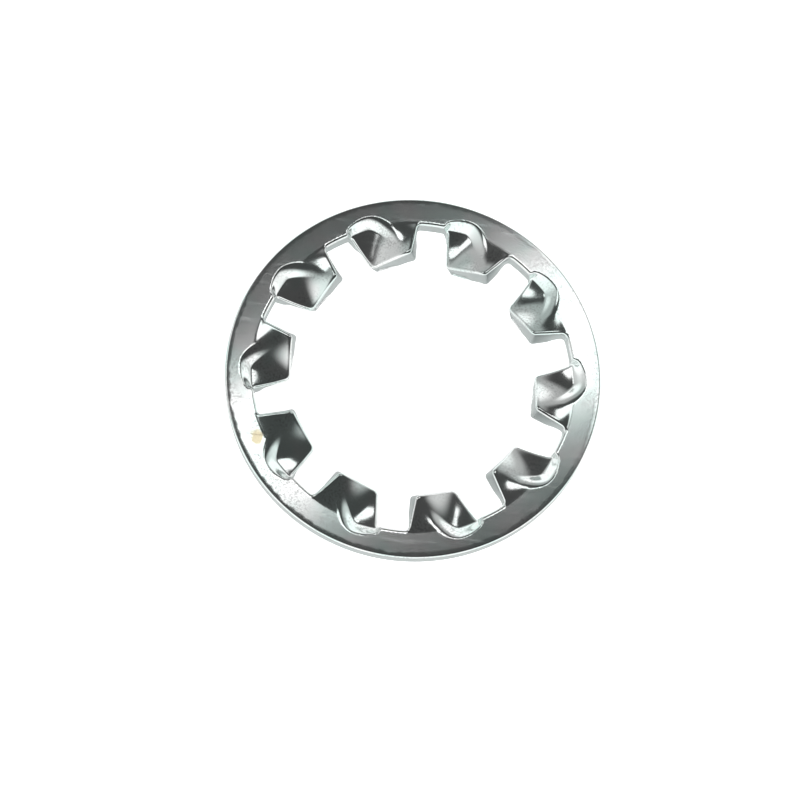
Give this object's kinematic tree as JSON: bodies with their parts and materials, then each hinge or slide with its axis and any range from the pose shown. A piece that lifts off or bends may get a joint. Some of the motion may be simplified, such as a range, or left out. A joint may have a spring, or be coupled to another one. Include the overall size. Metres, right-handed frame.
{
  "type": "toothed lock washer",
  "caption": "Flat sheet-metal ring washer with twisted teeth on its inner edge that bite under a bolt head or nut and keep it from turning loose.",
  "frame": {"origin": "On the washer's axis, level with the lowest corners of the set-down tooth sides, which is what it lies on.", "axes": "+Z is the washer's axis, away from the surface it lies on. One tooth is centred on +X, its raised side toward -Y and its set-down side toward +Y."},
  "size_m": [0.0202, 0.0202, 0.0018],
  "materials": {
    "zinc_steel": "bright zinc plate over blanked spring steel, fine specks and light scratches"
  },
  "bodies": {
    "root": {"lock_washer": "zinc_steel"}
  },
  "joints": []
}
